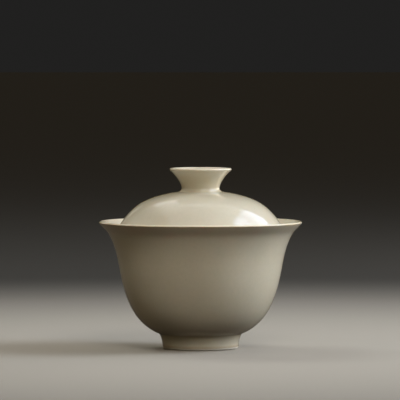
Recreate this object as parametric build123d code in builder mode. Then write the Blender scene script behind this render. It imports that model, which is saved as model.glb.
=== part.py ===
from build123d import *
import os

# A gaiwan: a bell-mouthed porcelain tea bowl with a domed lid that sits inside its flare.
# Millimetres, +Z up. The origin is on the bowl's axis, on the plane that the foot stands on.
# Every piece is turned about Z: a half section is drawn in the XZ plane as (radius, height)
# and revolved. The foot ring and the knob are turned on their own and luted on with slip
# before firing, so each one is shaped to the surface that it is stuck to.

# ---- Driving dimensions --------------------------------------------------------------------

OUTWARD = Vector(1, 0)
INWARD = Vector(-1, 0)
UPWARD = Vector(0, 1)

# Bowl: outside stations (radius, height), from the belly up to the start of the lip.
BASE_H = 5.4
BELLY = [(14.5, 5.8), (21.0, 7.6), (30.4, 14.5), (36.3, 25.0)]
WALL = [(39.7, 38.0), (42.4, 50.0)]
FLARE = [(45.9, 57.5), (49.82, 61.75)]
LIP_SLOPE = Vector(1, 1.2)
LIP_WALL = 1.1
FLOOR_WALL = 3.4
# Wall thickness at shares of the outline's length, from the lip down to the floor's centre.
BOWL_WALLS = [(1.0, LIP_WALL), (0.9, 1.7), (0.65, 2.2), (0.4, 2.9), (0.2, 3.4), (0.0, FLOOR_WALL)]

# Foot ring
FOOT_WALL_R = 18.72
FOOT_WAIST = (19.15, 4.6)
FOOT_TOP = (20.8, 8.2)
FOOT_INSIDE_R = 14.6
FOOT_BEVEL_H = 1.25
FOOT_BEVEL_IN = 0.8
FOOT_INNER_BEVEL = 0.6

# Lid: outside stations of the dome, from the crown to the skirt, as it sits in the bowl.
CROWN_H = 77.6
DOME = [(10.5, 77.2), (19.7, 75.5), (30.8, 70.7), (37.1, 64.65)]
LID_EDGE = Vector(42.05, 56.37)
LID_EDGE_WALL = 1.9
SKIRT_SLOPE = Vector(0.6, -0.8)
# Wall thickness at shares of the dome's length, from the skirt to the crown.
LID_WALLS = [(0.75, 2.1), (0.4, 2.8), (0.0, 2.8)]

# Knob
KNOB_FOOT = (10.6, 76.6)
KNOB_FOOT_SLOPE = Vector(-1, 0.9)
KNOB_WAIST = (9.29, 78.5)
KNOB_FLARE = (10.9, 83.0)
KNOB_LIP = (14.9, 87.6)
KNOB_LIP_SLOPE = Vector(1, 0.8)
KNOB_LIP_WALL = 1.4
KNOB_DISH_SIDE = (9.6, 84.6)
KNOB_DISH_H = 82.8
KNOB_ROOT_H = 76.0


def square_to(direction):
    """The direction a quarter turn to the left of another one."""
    return Vector(-direction.Y, direction.X)


def offset_points(outline, walls, side):
    """Points one wall thickness off an outline, on its left (side 1) or its right (side -1)."""
    return [
        outline @ share + square_to(outline % share) * (side * wall) for share, wall in walls
    ]


def lip_arc(outer, inner, direction):
    """A half-round edge from one end point to the other, bulging in a direction."""
    reach = (outer - inner).length / 2
    return ThreePointArc(outer, (outer + inner) / 2 + direction.normalized() * reach, inner)


# ---- Bowl: a bell closed by a flat-bottomed belly ------------------------------------------

with BuildPart() as bowl:
    with BuildSketch(Plane.XZ):
        with BuildLine():
            bell = Spline((0, BASE_H), *BELLY, *WALL, *FLARE, tangents=[OUTWARD, LIP_SLOPE])
            # The inside follows the outside, with a wall that thins from floor to lip.
            cavity = Spline(offset_points(bell, BOWL_WALLS, 1), tangents=[-(bell % 1), INWARD])
            lip_arc(bell @ 1, cavity @ 0, bell % 1)
            Line(cavity @ 1, bell @ 0)
        make_face()
    revolve(axis=Axis.Z)
bowl.part.label = "bowl"

# ---- Foot ring: luted under the belly, coved outside, bevelled where it meets the table ----

with BuildPart() as foot_ring:
    with BuildSketch(Plane.XZ):
        with BuildLine():
            cove = ThreePointArc((FOOT_WALL_R, FOOT_BEVEL_H), FOOT_WAIST, FOOT_TOP)
            # The ring is drawn up into the bowl's floor, which is then cut away from it.
            Polyline(
                cove @ 1,
                (FOOT_INSIDE_R, BASE_H + FLOOR_WALL / 2),
                (FOOT_INSIDE_R, FOOT_INNER_BEVEL),
                (FOOT_INSIDE_R + FOOT_INNER_BEVEL, 0),
                (FOOT_WALL_R - FOOT_BEVEL_IN, 0),
                cove @ 0,
            )
        make_face()
    revolve(axis=Axis.Z)
    add(bowl.part, mode=Mode.SUBTRACT)
foot_ring.part.label = "foot_ring"

# ---- Lid: a dome with a nearly straight skirt and a rounded edge ---------------------------

with BuildPart() as lid:
    with BuildSketch(Plane.XZ):
        with BuildLine():
            half_edge = square_to(SKIRT_SLOPE) * (LID_EDGE_WALL / 2)
            dome = Spline((0, CROWN_H), *DOME, LID_EDGE + half_edge, tangents=[OUTWARD, SKIRT_SLOPE])
            vault = Spline(
                LID_EDGE - half_edge,
                *offset_points(dome, LID_WALLS, -1),
                tangents=[-SKIRT_SLOPE, INWARD],
            )
            lip_arc(dome @ 1, vault @ 0, SKIRT_SLOPE)
            Line(vault @ 1, dome @ 0)
        make_face()
    revolve(axis=Axis.Z)
lid.part.label = "lid"

# ---- Knob: a waisted, flared ring with a dished top, luted on the crown of the dome --------

with BuildPart() as lid_knob:
    with BuildSketch(Plane.XZ):
        with BuildLine():
            root = Spline(KNOB_FOOT, KNOB_WAIST, tangents=[KNOB_FOOT_SLOPE, UPWARD])
            flare = Spline(root @ 1, KNOB_FLARE, KNOB_LIP, tangents=[UPWARD, KNOB_LIP_SLOPE])
            dish = Spline(
                *offset_points(flare, [(1.0, KNOB_LIP_WALL)], 1),
                KNOB_DISH_SIDE,
                (0, KNOB_DISH_H),
                tangents=[-(flare % 1), INWARD],
            )
            lip_arc(flare @ 1, dish @ 0, flare % 1)
            # The knob is drawn down into the dome, which is then cut away from it.
            Polyline(dish @ 1, (0, KNOB_ROOT_H), (KNOB_FOOT[0], KNOB_ROOT_H), root @ 0)
        make_face()
    revolve(axis=Axis.Z)
    add(lid.part, mode=Mode.SUBTRACT)
lid_knob.part.label = "lid_knob"

# ---- Export --------------------------------------------------------------------------------

os.makedirs("parts", exist_ok=True)
export_step(bowl.part, "parts/bowl.step")
export_step(foot_ring.part, "parts/foot_ring.step")
export_step(lid.part, "parts/lid.step")
export_step(lid_knob.part, "parts/lid_knob.step")
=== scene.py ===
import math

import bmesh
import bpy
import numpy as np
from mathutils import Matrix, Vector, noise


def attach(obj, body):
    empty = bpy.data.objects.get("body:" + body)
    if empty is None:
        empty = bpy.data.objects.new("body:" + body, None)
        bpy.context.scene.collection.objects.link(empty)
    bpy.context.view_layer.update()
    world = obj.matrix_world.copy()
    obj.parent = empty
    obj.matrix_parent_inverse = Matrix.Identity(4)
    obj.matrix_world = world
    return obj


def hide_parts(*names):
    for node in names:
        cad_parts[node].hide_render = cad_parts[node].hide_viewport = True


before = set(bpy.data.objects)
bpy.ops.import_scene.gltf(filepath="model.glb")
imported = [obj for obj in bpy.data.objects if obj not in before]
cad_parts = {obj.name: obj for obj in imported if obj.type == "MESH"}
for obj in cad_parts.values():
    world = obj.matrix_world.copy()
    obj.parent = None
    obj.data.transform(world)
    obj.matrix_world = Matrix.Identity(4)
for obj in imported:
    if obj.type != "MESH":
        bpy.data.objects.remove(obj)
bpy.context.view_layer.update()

# A lidded porcelain tea bowl under a warm cream glaze, on a plain pale floor.
# Every piece of the object is a turned shape: its half section is read from the CAD node that
# it stands for, smoothed, given the marks that glazing leaves, and spun about Z again.
# Metres, +Z up, in the CAD's own frame.

MM = 0.001

# ---- Outlines: half sections as arrays of (radius, height) points --------------------------

WELD = 0.0001 * MM          # points nearer than this are one point
POLE_GAP = 0.6 * MM         # from the axis to the nearest ring of vertices
LONGEST_STEP = 1.2 * MM     # of an outline, between two rings of vertices
FINE_STEP = 0.05 * MM       # spacing at which a spline is evaluated before it is thinned
TURN_PER_STEP = math.radians(6)
CORNER = math.radians(24)   # an outline that turns by more than this has a corner there
CURVE_STEPS = 8             # of a rounded or a filled corner
GLAZE_BITE = 0.02 * MM      # how far the thin edge of a fillet lies inside its neighbour
CREASE_LIFT = 0.12          # share of the reach by which a fillet's curve clears its corner


def half_section(node):
    """A node's outline in the XZ half plane: (radius, height) points in order, lowest end first."""
    mesh = bmesh.new()
    mesh.from_mesh(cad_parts[node].data)
    bmesh.ops.remove_doubles(mesh, verts=mesh.verts, dist=WELD)
    seam = [v for v in mesh.verts if abs(v.co.y) < WELD and v.co.x > -WELD]
    links = {v: [e.other_vert(v) for e in v.link_edges if e.other_vert(v) in seam] for v in seam}
    ends = [v for v in seam if len(links[v]) == 1]
    here = min(ends or seam, key=lambda v: (v.co.z, v.co.x))
    walk, seen = [], set()
    while here:
        walk.append((here.co.x, here.co.z))
        seen.add(here)
        here = next((v for v in links[here] if v not in seen), None)
    mesh.free()
    return np.array(walk)


def unit(direction):
    """A direction at length 1."""
    return direction / np.linalg.norm(direction)


def turn_angles(points):
    """How far an outline turns at each of its inner points, in radians."""
    steps = np.diff(points, axis=0)
    headings = np.unwrap(np.arctan2(steps[:, 1], steps[:, 0]))
    return np.abs(np.diff(headings))


def cubic_through(points):
    """Closely spaced points on the natural cubic spline through a run of points."""
    length = np.linalg.norm(np.diff(points, axis=0), axis=1)
    at = np.concatenate([[0.0], np.cumsum(length)])
    slope = np.diff(points, axis=0) / length[:, None]
    count = len(points)
    system = np.eye(count)
    right = np.zeros_like(points)
    for i in range(1, count - 1):
        system[i, i - 1 : i + 2] = length[i - 1], 2 * (length[i - 1] + length[i]), length[i]
        right[i] = 6 * (slope[i] - slope[i - 1])
    bend = np.linalg.solve(system, right)
    t = np.linspace(0, at[-1], max(2, int(at[-1] / FINE_STEP)))
    i = np.clip(np.searchsorted(at, t, side="right") - 1, 0, count - 2)
    u = (t - at[i])[:, None]
    h = length[i][:, None]
    start, end = bend[i], bend[i + 1]
    first = slope[i] - h * (2 * start + end) / 6
    return points[i] + u * first + u**2 * start / 2 + u**3 * (end - start) / (6 * h)


def thinned(points):
    """The points of a fine outline that its curvature and the longest step call for."""
    kept = [points[0]]
    turned = np.concatenate([[0.0], turn_angles(points), [0.0]])
    since_turn, since_length = 0.0, 0.0
    for before, here, turn in zip(points, points[1:], turned[1:]):
        since_turn += turn
        since_length += np.linalg.norm(here - before)
        if since_turn >= TURN_PER_STEP or since_length >= LONGEST_STEP:
            kept.append(here)
            since_turn, since_length = 0.0, 0.0
    if np.linalg.norm(kept[-1] - points[-1]) < FINE_STEP and len(kept) > 1:
        kept.pop()
    return np.array(kept + [points[-1]])


def redrawn(run):
    """A run between two corners as one smooth curve, which is level where it meets the axis."""
    mirror = np.array([-1.0, 1.0])
    lead = run[1:4][::-1] * mirror if run[0][0] < WELD else run[:0]
    tail = run[-4:-1][::-1] * mirror if run[-1][0] < WELD else run[:0]
    fine = cubic_through(np.vstack([lead, run, tail]))
    fine = fine[fine[:, 0] > POLE_GAP]
    start = run[:1] if len(lead) else run[:0]
    end = run[-1:] if len(tail) else run[:0]
    return thinned(np.vstack([start, fine, end]))


def smoothed(points):
    """An outline redrawn as smooth curves between its corners."""
    corners = [i + 1 for i, turn in enumerate(turn_angles(points)) if turn > CORNER]
    runs = zip([0] + corners, corners + [len(points) - 1])
    return np.vstack([points[:1]] + [redrawn(points[start : end + 1])[1:] for start, end in runs])


def corner_towards(outline, outward, upward):
    """The index of an outline's furthest point in a direction, which picks out one corner."""
    return int(np.argmax(outline @ np.array([outward, upward])))


def parted(outline, corner, reach):
    """The two stretches of an outline that end and start a reach before and after a corner."""
    length = np.linalg.norm(np.diff(outline, axis=0), axis=1)
    away = np.concatenate([[0.0], np.cumsum(length)])
    away -= away[corner]
    before, after = ([np.interp(at, away, outline[:, k]) for k in (0, 1)] for at in (-reach, reach))
    head = outline[away < -reach - FINE_STEP]
    tail = outline[away > reach + FINE_STEP]
    return np.vstack([head, before]), np.vstack([after, tail])


def curved(start, control, end):
    """Points on the curve from start to end that leans towards a control point."""
    t = np.linspace(0, 1, CURVE_STEPS + 1)[:, None]
    return (1 - t) ** 2 * start + 2 * t * (1 - t) * control + t**2 * end


def rounded(outline, corner, reach, crown=1.0):
    """An outline with one of its corners rounded, or wiped flatter where the crown is below 1."""
    head, tail = parted(outline, corner, reach)
    middle = (head[-1] + tail[0]) / 2
    control = middle + (outline[corner] - middle) * crown
    return np.vstack([head[:-1], curved(head[-1], control, tail[0]), tail[1:]])


def filled(outline, corner, reach):
    """An outline with glaze run into the crease beyond one of its corners.

    The face before the corner is stuck to a neighbour. It runs on over the neighbour's surface
    by the reach, and a hollow curve joins its far edge to the free face after the corner.
    """
    _, free = parted(outline, corner, reach)
    along = unit(outline[corner] - outline[corner - 1])
    across = np.array([-along[1], along[0]])
    into = across if across @ (free[0] - outline[corner]) < 0 else -across
    edge = outline[corner] + along * reach + into * GLAZE_BITE
    control = outline[corner] + (free[0] - outline[corner]) * CREASE_LIFT
    return np.vstack([outline[: corner + 1], curved(edge, control, free[0]), free[1:]])


# ---- Turned pieces -------------------------------------------------------------------------

SEGMENTS = 320              # faces round a full turn
SHARP = math.radians(40)    # edges that turn by more than this aren't shaded smooth
WARP = 0.09 * MM            # how far hand throwing leaves a wall from true
WARP_SIZE = 34 * MM
WARP_SEED = 5
TRUE_BASE = 10 * MM         # height below which the warp dies away to leave a flat base
RING_DEPTH = 0.012 * MM     # of the faint rings that a thrower's fingers leave
RING_PITCH = 4.3 * MM
RING_REACH = 30 * MM        # radius by which the rings are at full depth

noise.seed_set(WARP_SEED)   # without a seed, the warp would differ from run to run


def thrown(point):
    """Where a point of a true turned shape lies once it has been thrown and fired.

    Every piece shares this warp, so surfaces that touch stay together.
    """
    drift = noise.noise_vector(point / WARP_SIZE) * WARP * min(point.z / TRUE_BASE, 1)
    around = Vector((point.x, point.y, 0))
    turn = math.atan2(point.y, point.x)
    wave = math.sin(math.tau * point.z / RING_PITCH + turn)
    reach = min(around.length / RING_REACH, 1)
    return point + drift + around.normalized() * (wave * reach**2 * RING_DEPTH)


def spun(name, outline, marks, closed=False):
    """A closed mesh object made by turning an outline about Z. Ends on the axis become poles.

    Marks are named values from 0 to 1, one for each point of the outline.
    """
    mesh = bmesh.new()
    layers = {mark: mesh.verts.layers.float.new(mark) for mark in marks}
    rings = []
    for index, (radius, height) in enumerate(outline):
        count = 1 if radius < WELD else SEGMENTS
        ring = []
        for k in range(count):
            angle = math.tau * k / count
            place = Vector((radius * math.cos(angle), radius * math.sin(angle), height))
            vertex = mesh.verts.new(thrown(place))
            for mark, layer in layers.items():
                vertex[layer] = marks[mark][index]
            ring.append(vertex)
        rings.append(ring)
    for low, high in zip(rings, rings[1:] + rings[:1] if closed else rings[1:]):
        for k in range(SEGMENTS):
            n = (k + 1) % SEGMENTS
            around = [low[k % len(low)], low[n % len(low)], high[n % len(high)], high[k % len(high)]]
            # Next to a pole, two of the four corners are the same vertex and count as one.
            mesh.faces.new(list(dict.fromkeys(around)))
    bmesh.ops.recalc_face_normals(mesh, faces=mesh.faces)
    data = bpy.data.meshes.new(name)
    mesh.to_mesh(data)
    mesh.free()
    data.shade_smooth()
    data.set_sharp_from_angle(angle=SHARP)
    piece = bpy.data.objects.new(name, data)
    bpy.context.scene.collection.objects.link(piece)
    return piece


def near(outline, place, reach):
    """1 where an outline passes a place, falling to nothing a few reaches away."""
    return np.exp(-((np.linalg.norm(outline - place, axis=1) / reach) ** 2))


# ---- The four pieces -----------------------------------------------------------------------

LIP_LEAN = (1.0, 1.2)       # outward and upward direction of the bowl's wall at its lip
LIP_WIPE = 0.45 * MM        # how far to each side of its tip the lip is wiped flatter
LIP_CROWN = 0.6             # share of its roundness that the lip keeps there
LIP_HIGHLIGHT_REACH = 0.55 * MM     # how far from the top of a lip the painted highlight reaches
LIP_REACH = 0.35 * MM       # how far from an edge the glaze is thin and tan
POOL_AND_SHADE_REACH = 1.8 * MM       # how far from a crease it is thick and painted in shade
WAIST_REACH = 5 * MM        # how far from the middle of the knob's waist it is thick and painted in shade
KNOB_FILLET = 1.6 * MM      # of the glaze run into the crease round the knob's root
FOOT_FILLET = 0.5 * MM      # and into the one between the foot ring and the belly
RECESS_FILLET = 0.9 * MM    # and into the corner of the recess inside the foot ring
GLAZE_STEP = 0.15 * MM      # how far the glaze stands proud of the bare clay
GLAZE_ROLL = 0.14 * MM      # rounding of the glaze's edge beside the clay
CLAY_EDGE = 0.15 * MM       # rounding of the clay's own edges
CLAY_BULGE = 0.28           # share of the outer bevel's height at which its bulge is aimed


def glaze_marks(outline, highlit_crests=(), edges=(), creases=()):
    """How much painted highlight lies at crests, tan at edges, and thick glaze with painted shade in
    creases, along an outline.
    """
    kinds = (("crest_highlight", highlit_crests, LIP_HIGHLIGHT_REACH), ("thin", edges, LIP_REACH), ("pool_and_shade", creases, POOL_AND_SHADE_REACH))
    marks = {}
    for name, places, reach in kinds:
        levels = [near(outline, place, reach) for place in places]
        marks[name] = np.max(levels, axis=0) if levels else np.zeros(len(outline))
    return marks


def make_bowl():
    """The bell-shaped bowl: glazed all over, with a painted highlight along its lip and a tan line just
    under it.
    """
    outline = smoothed(half_section("bowl"))
    outline = rounded(outline, corner_towards(outline, *LIP_LEAN), LIP_WIPE, LIP_CROWN)
    lip = outline[corner_towards(outline, *LIP_LEAN)]
    under, _ = parted(outline, corner_towards(outline, 1, 0), LIP_REACH / 2)
    return spun("bowl_glazed", outline, glaze_marks(outline, highlit_crests=[lip], edges=[under[-1]]))


def make_lid():
    """The domed lid: glazed all over, thinnest at its edge."""
    outline = smoothed(half_section("lid"))
    edge = outline[corner_towards(outline, 1, -1)]
    return spun("lid_glazed", outline, glaze_marks(outline, edges=[edge]))


def make_knob():
    """The dished knob. Glaze has run into its waist and the crease where it is stuck to the lid, and there
    it is painted warmer and darker, partly as thick glaze and partly as painted shade.
    """
    outline = smoothed(half_section("lid_knob"))
    root = corner_towards(outline, 1, -2)
    lip = outline[corner_towards(outline, 1, 1)]
    crease = outline[root]
    outline = filled(outline, root, KNOB_FILLET)
    # The knob's lip gets the painted highlight.
    marks = glaze_marks(outline, highlit_crests=[lip], creases=[crease])
    waist = np.array([crease[0], (crease[1] + lip[1]) / 2])
    # Its waist is marked like a crease: thick glaze and painted shade.
    marks["pool_and_shade"] = np.maximum(marks["pool_and_shade"], near(outline, waist, WAIST_REACH))
    return spun("lid_knob_glazed", outline, marks)


def wiped_base(base, middle):
    """The foot's base as bare clay: set back from the glaze, with a bulging outer bevel.

    It runs from the top of the inner bevel to the top of the outer one.
    """
    clay = base.copy()
    clay[:, 0] += GLAZE_STEP * np.sign(middle - clay[:, 0])
    foot = corner_towards(clay, 0.3, -1)
    bevel_top = clay[-1]
    bulge = np.array([bevel_top[0], bevel_top[1] * CLAY_BULGE])
    return np.vstack([clay[:foot], curved(clay[foot], bulge, bevel_top)])


def make_foot():
    """The foot ring: its base is wiped clean of glaze before firing, up to the two bevels."""
    outline = smoothed(half_section("foot_ring"))
    outer = corner_towards(outline, 1, -0.5)
    glazed = outline[outer:]
    outer_edge, inner_edge = glazed[0], glazed[-1]
    middle = (outer_edge[0] + inner_edge[0]) / 2
    base = np.vstack([outline[-1:], outline[: outer + 1]])
    loop = np.vstack([glazed, wiped_base(base, middle)])

    cove_top = corner_towards(loop, 0, 1)
    creases = [loop[cove_top]]
    loop = filled(loop[::-1], len(loop) - 1 - cove_top, FOOT_FILLET)[::-1]
    recess_top = corner_towards(loop, -1, 0.5)
    creases.append(loop[recess_top])
    loop = filled(loop, recess_top, RECESS_FILLET)

    for edge in (outer_edge, inner_edge):
        # The loop is started afresh on its far side, so that it doesn't end at this edge.
        loop = np.roll(loop, len(loop) // 2, axis=0)
        corner = int(np.argmin(np.linalg.norm(loop - edge, axis=1)))
        loop = rounded(loop, corner, GLAZE_ROLL)
    for outward in (0.5, -0.5):
        loop = rounded(loop, corner_towards(loop, outward, -1), CLAY_EDGE)

    # Thick glaze and painted shade in the two creases, and tan along the glaze's edges.
    marks = glaze_marks(loop, edges=[outer_edge, inner_edge], creases=creases)
    within = np.abs(loop[:, 0] - middle) < (outer_edge[0] - inner_edge[0]) / 2 - GLAZE_STEP / 2
    marks["bare"] = (within & (loop[:, 1] < outer_edge[1] + WELD)).astype(float)
    return spun("foot_ring_glazed", loop, marks, closed=True)


# ---- Materials -----------------------------------------------------------------------------


def shader_tree(owner):
    """The emptied node tree of a material, light or world."""
    owner.use_nodes = True
    owner.node_tree.nodes.clear()
    return owner.node_tree


def add(tree, kind, inputs=None, **settings):
    """A shader node. Its inputs are numbers, colours, or the sockets that feed them."""
    node = tree.nodes.new("ShaderNode" + kind)
    for name, value in settings.items():
        setattr(node, name, value)
    for name, value in (inputs or {}).items():
        if isinstance(value, bpy.types.NodeSocket):
            tree.links.new(value, node.inputs[name])
        else:
            node.inputs[name].default_value = value
    return node


def maths(tree, operation, *values):
    """The result of a Math node."""
    return add(tree, "Math", dict(enumerate(values)), operation=operation).outputs[0]


def ranged(tree, value, low, high, to_low=0.0, to_high=1.0):
    """A value eased from one range to another, and held at its ends."""
    inputs = {"Value": value, "From Min": low, "From Max": high, "To Min": to_low, "To Max": to_high}
    return add(tree, "MapRange", inputs, interpolation_type="SMOOTHSTEP").outputs["Result"]


def mixed(tree, share, first, second):
    """A colour that is the first one at share 0 and the second at share 1."""
    node = add(tree, "Mix", data_type="RGBA")
    for socket, value in zip((node.inputs[0], node.inputs[6], node.inputs[7]), (share, first, second)):
        if isinstance(value, bpy.types.NodeSocket):
            tree.links.new(value, socket)
        else:
            socket.default_value = value
    return node.outputs[2]


def grain(tree, place, size, detail=2.0, roughness=0.5):
    """Smooth noise whose lumps are about one size across, in metres."""
    inputs = {"Vector": place, "Scale": 1 / size, "Detail": detail, "Roughness": roughness}
    return add(tree, "TexNoise", inputs).outputs["Fac"]


def mark(tree, name):
    """A value painted along the outlines."""
    return add(tree, "Attribute", attribute_name=name).outputs["Fac"]


def bumped(tree, height, depth, below=None):
    """A surface normal roughened by a height field from 0 to 1 of a given depth in metres."""
    inputs = {"Height": height, "Distance": depth, "Strength": 1.0}
    if below:
        inputs["Normal"] = below
    return add(tree, "Bump", inputs).outputs["Normal"]


CREAM = (0.73, 0.68, 0.57, 1)
CREAM_DEEP = (0.70, 0.655, 0.545, 1)
MOTTLE = (0.61, 0.59, 0.48, 1)
POOLED_AND_SHADED = (0.60, 0.53, 0.38, 1)          # where the glaze is thick, and painted shade in creases and at the knob's waist
TAN = (0.42, 0.25, 0.09, 1)             # where it is thin
LIP_HIGHLIGHT = (0.98, 0.89, 0.73, 1)       # the porcelain under it, at the lips
# a painted highlight along the tops of the lips, in the pale tone of the porcelain
IRON = (0.20, 0.12, 0.06, 1)
CLAY = (0.86, 0.83, 0.77, 1)
CLAY_BLUSH = (0.52, 0.42, 0.31, 1)

CLOUD_SIZE = 22 * MM
MOTTLE_SIZE = 1.6 * MM
BREAK_SIZE = 2.5 * MM       # of the stretches where a tan edge is fainter
SPECK_PITCH = 2.6 * MM
SPECK_SIZE = 0.16 * MM
SPECK_SHARE = 0.35          # of the cells, a pitch across, that hold a speck
SWELL_SIZE = 7 * MM         # of the glaze's slow unevenness
SWELL_DEPTH = 0.004 * MM
SKIN_SIZE = 1.1 * MM        # of its fine unevenness
SKIN_DEPTH = 0.0006 * MM
GLOSS_SIZE = 5 * MM
GLOSS = (0.015, 0.035)      # its roughness, from place to place
LIGHT_REACH = 1.6 * MM      # how far light spreads under the surface
SAND_SIZE = 0.5 * MM
SAND_DEPTH = 0.05 * MM


def specks(tree, place, spacing, size, share):
    """Soft dots on a share of the cells of a grid with random points, as a mask."""
    cells = add(tree, "TexVoronoi", {"Vector": place, "Scale": 1 / spacing})
    lot = add(tree, "SeparateColor", {"Color": cells.outputs["Color"]}).outputs["Red"]
    chosen = maths(tree, "LESS_THAN", lot, share)
    dot = ranged(tree, cells.outputs["Distance"], size / spacing, 0.4 * size / spacing)
    return maths(tree, "MULTIPLY", chosen, dot)


def glaze_colour(tree, place):
    """Clouded, mottled cream, warm where it pools and where shade is painted, tan where it is thin, with
    iron specks and a painted highlight on the lips.
    """
    cloud = grain(tree, place, CLOUD_SIZE, 3.0)
    mottle = grain(tree, place, MOTTLE_SIZE, 3.0, 0.6)
    colour = mixed(tree, ranged(tree, cloud, 0.35, 0.65), CREAM, CREAM_DEEP)
    colour = mixed(tree, ranged(tree, mottle, 0.35, 0.75, 0.0, 0.22), colour, MOTTLE)
    # Warmer and darker in creases and at the knob's waist: thick glaze, and painted shade.
    colour = mixed(tree, maths(tree, "MULTIPLY", mark(tree, "pool_and_shade"), 0.75), colour, POOLED_AND_SHADED)
    ragged = ranged(tree, grain(tree, place, BREAK_SIZE), 0.2, 0.8, 0.55, 1.0)
    thin = maths(tree, "MULTIPLY", maths(tree, "MULTIPLY", mark(tree, "thin"), ragged), 0.7)
    colour = mixed(tree, thin, colour, TAN)
    # A painted highlight along the tops of the lips, in the pale tone of the porcelain.
    colour = mixed(tree, maths(tree, "MULTIPLY", mark(tree, "crest_highlight"), 0.97), colour, LIP_HIGHLIGHT)
    dots = specks(tree, place, SPECK_PITCH, SPECK_SIZE, SPECK_SHARE)
    return mixed(tree, maths(tree, "MULTIPLY", dots, 0.55), colour, IRON)


def glazed_surface(tree, place):
    """A clear, glossy, slightly uneven coat over a softer body that lets a little light in."""
    colour = glaze_colour(tree, place)
    swell = bumped(tree, grain(tree, place, SWELL_SIZE), SWELL_DEPTH)
    skin = bumped(tree, grain(tree, place, SKIN_SIZE, 1.0), SKIN_DEPTH, swell)
    return add(tree, "BsdfPrincipled", {
        "Base Color": colour,
        "Roughness": 0.42,
        "Specular IOR Level": 0.12,
        "Subsurface Weight": 0.12,
        "Subsurface Radius": (1.0, 0.6, 0.35),
        "Subsurface Scale": LIGHT_REACH,
        "Coat Weight": 1.0,
        "Coat IOR": 1.5,
        "Coat Roughness": ranged(tree, grain(tree, place, GLOSS_SIZE), 0.3, 0.7, *GLOSS),
        "Coat Normal": skin,
        "Normal": swell,
    }).outputs["BSDF"]


def clay_surface(tree, place):
    """Bare, sandy clay, flushed along the edge of the glaze."""
    sand = grain(tree, place, SAND_SIZE, 4.0, 0.7)
    blush = mixed(tree, maths(tree, "MULTIPLY", mark(tree, "thin"), 0.75), CLAY, CLAY_BLUSH)
    return add(tree, "BsdfPrincipled", {
        "Base Color": mixed(tree, ranged(tree, sand, 0.5, 0.8, 0.0, 0.2), blush, CLAY_BLUSH),
        "Roughness": 0.85,
        "Specular IOR Level": 0.25,
        "Normal": bumped(tree, sand, SAND_DEPTH),
    }).outputs["BSDF"]


def cream_glaze():
    """Warm cream glaze over porcelain, with bare clay where it is marked so."""
    material = bpy.data.materials.new("cream_glaze")
    tree = shader_tree(material)
    place = add(tree, "TexCoord").outputs["Object"]
    glazed = glazed_surface(tree, place)
    clay = clay_surface(tree, place)
    bare = ranged(tree, mark(tree, "bare"), 0.35, 0.65)
    surface = add(tree, "MixShader", {0: bare, 1: glazed, 2: clay}).outputs[0]
    add(tree, "OutputMaterial", {"Surface": surface})
    return material


FLOOR_PALE = (0.42, 0.40, 0.375, 1)
FLOOR_FAR = (0.035, 0.034, 0.033, 1)
FLOOR_BOUNCE = (0.060, 0.048, 0.036, 1)
FLOOR_FADE = (0.10, 0.62)   # distances from the object's axis over which the painted pool of light on the floor falls dark
BOUNCE_FADE = (0.35, 1.2)   # and over which it gives way to the room in the glaze's reflections


def floor_material():
    """A plain pale floor with a painted pool of light that falls dark with distance.

    The light that it throws back on the object is that of a darker table, so that the underside
    of the bowl keeps its shade. It can be seen through from below.
    """
    material = bpy.data.materials.new("floor")
    tree = shader_tree(material)
    place = add(tree, "TexCoord").outputs["Object"]
    away = add(tree, "VectorMath", {0: place}, operation="LENGTH").outputs["Value"]
    # A painted pool of light: pale near the object, dark further away.
    seen = mixed(tree, ranged(tree, away, *FLOOR_FADE), FLOOR_PALE, FLOOR_FAR)
    path = add(tree, "LightPath").outputs["Is Camera Ray"]
    colour = mixed(tree, path, FLOOR_BOUNCE, seen)
    top = add(tree, "BsdfPrincipled", {
        "Base Color": colour,
        "Roughness": 0.75,
        "Specular IOR Level": 0.2,
    }).outputs["BSDF"]
    clear = add(tree, "BsdfTransparent").outputs["BSDF"]
    under = add(tree, "NewGeometry").outputs["Backfacing"]
    from_below = maths(tree, "MULTIPLY", under, path)
    mirrored = maths(tree, "MULTIPLY", ranged(tree, away, *BOUNCE_FADE), maths(tree, "SUBTRACT", 1.0, path))
    gone = maths(tree, "MAXIMUM", from_below, mirrored)
    surface = add(tree, "MixShader", {0: gone, 1: top, 2: clear}).outputs[0]
    add(tree, "OutputMaterial", {"Surface": surface})
    return material


# ---- The object ----------------------------------------------------------------------------

GLAZE = cream_glaze()
PIECES = (
    (make_bowl(), "bowl", "bowl"),
    (make_foot(), "foot_ring", "bowl"),
    (make_lid(), "lid", "lid"),
    (make_knob(), "lid_knob", "lid"),
)
for piece, node, body in PIECES:
    piece.data.materials.append(GLAZE)
    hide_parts(node)
    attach(piece, body)

# ---- Floor, light and camera ---------------------------------------------------------------

ROOM_REACH = 20.0           # of the floor, and of the camera's sight
HOLE_RADIUS = 17.6 * MM     # just inside the outer edge of the foot's base
FLOOR_SIDES = 96
CENTRE = Vector((0, 0, 0.06))   # the point that the lights are placed from and face
PANEL_UP = 1.0              # height of the ceiling's panels over that point


def make_floor():
    """The floor that the object stands on: a disc with a hole that the foot covers.

    The light below it reaches the object's underside through the hole, and nothing else.
    """
    turns = [math.tau * k / FLOOR_SIDES for k in range(FLOOR_SIDES)]
    corners = [
        (radius * math.cos(turn), radius * math.sin(turn), 0)
        for radius in (HOLE_RADIUS, ROOM_REACH)
        for turn in turns
    ]
    faces = []
    for k in range(FLOOR_SIDES):
        n = (k + 1) % FLOOR_SIDES
        faces.append((k, FLOOR_SIDES + k, FLOOR_SIDES + n, n))
    data = bpy.data.meshes.new("floor")
    data.from_pydata(corners, [], faces)
    data.materials.append(floor_material())
    floor = bpy.data.objects.new("floor", data)
    bpy.context.scene.collection.objects.link(floor)


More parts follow.
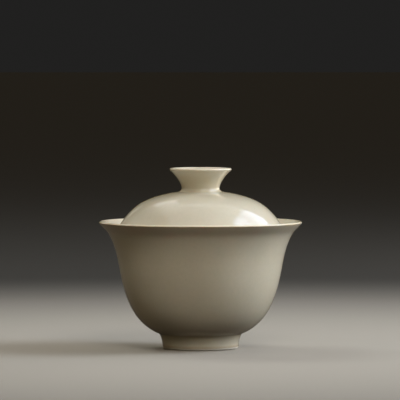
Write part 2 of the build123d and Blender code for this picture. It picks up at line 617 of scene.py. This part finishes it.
def softbox(name, centre, size, radiance, colour, facing=None, shades=True, mirrored=True):
    """A rectangular light of even radiance, which faces the object unless told otherwise.

    One that doesn't shade shows only as a reflection, and one that isn't mirrored never does.
    """
    data = bpy.data.lights.new(name, "AREA")
    data.shape = "RECTANGLE"
    data.size, data.size_y = size
    data.energy = radiance * math.pi * data.size * data.size_y
    data.color = colour
    light = bpy.data.objects.new(name, data)
    light.location = CENTRE + Vector(centre)
    aim = Vector(facing) if facing else -Vector(centre)
    light.rotation_euler = aim.to_track_quat("-Z", "Y").to_euler()
    light.visible_diffuse = shades
    light.visible_glossy = mirrored
    bpy.context.scene.collection.objects.link(light)
    return light


def panel(name, across, along, radiance, colour, **shown):
    """A softbox that lies level overhead, over a span in X and a span in Y."""
    centre = (sum(across) / 2, sum(along) / 2, PANEL_UP)
    size = (across[1] - across[0], along[1] - along[0])
    return softbox(name, centre, size, radiance, colour, (0, 0, -1), **shown)


# The main light is a tall window beside the object, hung with a thin curtain. All its places
# are on the plane that it lies in, as shares of its distance from the object.
WINDOW_AWAY = 1.1
WINDOW_ACROSS = (-0.42, 0.98)
WINDOW_UP = (0.15, 1.76)
WINDOW_RADIANCE = 5.6
WINDOW_TINT = (0.86, 1.0, 1.30)
OPEN_AWAY = 1.13            # the light that shades the object comes from just behind the curtain
OPEN_ACROSS = (-0.30, 0.30)
OPEN_UP = (0.20, 1.40)
OPEN_RADIANCE = 6.6
OPEN_TINT = (0.93, 1.0, 1.04)
CURTAIN = (                 # how clear it is, from near the viewer to the far side
    (-0.42, 0.9), (-0.3, 1.0), (0.05, 1.0), (0.10, 0.8), (0.125, 0.5), (0.15, 0.85), (0.24, 0.82),
    (0.31, 0.45), (0.40, 0.40), (0.48, 0.46), (0.55, 0.70), (0.62, 0.62), (0.645, 0.45), (0.67, 0.60),
    (0.76, 0.70), (0.97, 0.58),
)
SILL = (                    # and from the bottom of the window to its top
    (0.15, 0.2), (0.55, 0.3), (0.75, 1.0), (1.50, 1.0), (1.68, 0.45), (1.76, 0.0),
)


def share_ramp(tree, value, span, stops):
    """A value's level along stops that are given over a span."""
    low, high = span
    share = maths(tree, "DIVIDE", maths(tree, "SUBTRACT", value, low), high - low)
    ramp = add(tree, "ValToRGB", {"Fac": share})
    elements = ramp.color_ramp.elements
    while len(elements) < len(stops):
        elements.new(1.0)
    for element, (at, level) in zip(elements, stops):
        element.position = (at - low) / (high - low)
        element.color = (level, level, level, 1)
    return ramp.outputs["Color"]


def window_box(name, away, across, up, radiance, tint, **shown):
    """A softbox over a part of the window's plane, or of a plane parallel to it."""
    centre = Vector((1, sum(across) / 2, sum(up) / 2)) * away
    size = ((across[1] - across[0]) * away, (up[1] - up[0]) * away)
    return softbox(name, centre, size, radiance, tint, (-1, 0, 0), **shown)


def make_window():
    """The main light: its open part shades the object, and the whole of it is mirrored.

    The reflection has the curtain's folds, and soft top and bottom edges.
    """
    window_box("window_open", OPEN_AWAY, OPEN_ACROSS, OPEN_UP, OPEN_RADIANCE, OPEN_TINT, mirrored=False)
    light = window_box(
        "window", WINDOW_AWAY, WINDOW_ACROSS, WINDOW_UP, WINDOW_RADIANCE, WINDOW_TINT, shades=False
    )
    tree = shader_tree(light.data)
    place = add(tree, "NewGeometry").outputs["Position"]
    offset = add(tree, "VectorMath", {0: place, 1: CENTRE}, operation="SUBTRACT").outputs[0]
    parts = add(tree, "SeparateXYZ", {0: offset}).outputs
    folds = share_ramp(tree, maths(tree, "DIVIDE", parts["Y"], WINDOW_AWAY), WINDOW_ACROSS, CURTAIN)
    fade = share_ramp(tree, maths(tree, "DIVIDE", parts["Z"], WINDOW_AWAY), WINDOW_UP, SILL)
    strength = maths(tree, "MULTIPLY", folds, fade)
    glow = add(tree, "Emission", {"Strength": strength}).outputs[0]
    add(tree, "OutputLight", {"Surface": glow})


CEILING_TINT = (1.0, 1.0, 0.97)
CEILING = (                 # its panels: spans in X and in Y, and radiance
    ("ceiling", (-0.56, -0.22), (-0.6, 1.3), 1.05),
    ("ceiling_right", (-0.22, 0.6), (-0.6, 0.63), 0.85),
    ("ceiling_left", (-1.6, -0.56), (-0.6, 1.35), 0.22),
)
WALLS = (0.090, 0.071, 0.034, 1)
OVERHEAD = (0.23, 0.20, 0.18, 1)
WALL_TOP = (0.56, 0.66)     # upward part of the direction in which the walls give way to it
BACKDROP = (0.0150, 0.0147, 0.0142, 1)


def make_world():
    """Dim walls under a paler ceiling. The camera sees only a plain dark backdrop."""
    world = bpy.data.worlds.new("room")
    bpy.context.scene.world = world
    tree = shader_tree(world)
    height = add(tree, "SeparateXYZ", {0: add(tree, "TexCoord").outputs["Generated"]}).outputs["Z"]
    room = mixed(tree, ranged(tree, height, *WALL_TOP), WALLS, OVERHEAD)
    path = add(tree, "LightPath").outputs["Is Camera Ray"]
    glow = add(tree, "Background", {"Color": mixed(tree, path, room, BACKDROP)}).outputs[0]
    add(tree, "OutputWorld", {"Surface": glow})


def make_lights():
    """The window and the room round it: walls, lamps, ceiling, and a light below the floor.

    Each has its place from CENTRE, its size, its radiance and its colour.
    """
    make_window()
    softbox("wall_by_window", (0.92, 0.78, 0.14), (0.7, 0.35), 5.4, (1.16, 1.0, 0.78))
    softbox("front_lamp", (0.25, -1.03, 0.80), (0.5, 0.5), 6.4, (1.08, 1.0, 0.86))
    softbox("ceiling_glow", (-0.65, 0.65, 1.15), (0.6, 0.6), 4.2, (0.97, 1.0, 0.9), mirrored=False)
    softbox("left_lamp", (-0.97, -0.25, 0.72), (0.3, 0.3), 1.3, (1.2, 1.0, 0.6))
    softbox("doorway", (0.49, -0.92, 0.22), (0.09, 0.50), 2.5, (0.95, 1.0, 1.12), shades=False)
    for name, across, along, radiance in CEILING:
        panel(name, across, along, radiance, CEILING_TINT, shades=False)
    softbox("left_wall", (-2.0, 2.4, 1.6), (2.0, 0.7), 0.25, CEILING_TINT, (1, 0, 0), shades=False)
    softbox("under_floor", (0.0, 0.0, -0.9), (0.8, 0.8), 2.5, (1.0, 0.97, 0.92))
    softbox("back_wall", (-0.36, 0.90, 0.28), (0.12, 0.2), 0.5, (1.0, 0.95, 0.85), shades=False)


SENSOR = 36.0
VIEW_DISTANCE = 2.0
VIEW_HEIGHT = 0.151
AIM = Vector((-0.0003, 0.0, 0.0731))
VIEW_WIDTH = 0.19656        # seen across the picture, at the object


def make_camera():
    """A long lens a little above the lid, level across, at the distance of the photographer."""
    data = bpy.data.cameras.new("camera")
    data.sensor_width = SENSOR
    data.lens = SENSOR * VIEW_DISTANCE / VIEW_WIDTH
    data.clip_end = ROOM_REACH
    camera = bpy.data.objects.new("camera", data)
    camera.location = (AIM.x, -VIEW_DISTANCE, VIEW_HEIGHT)
    camera.rotation_euler = (AIM - camera.location).to_track_quat("-Z", "Y").to_euler()
    bpy.context.scene.collection.objects.link(camera)
    bpy.context.scene.camera = camera


make_floor()
make_lights()
make_world()
make_camera()
bpy.context.scene.view_settings.view_transform = "Standard"
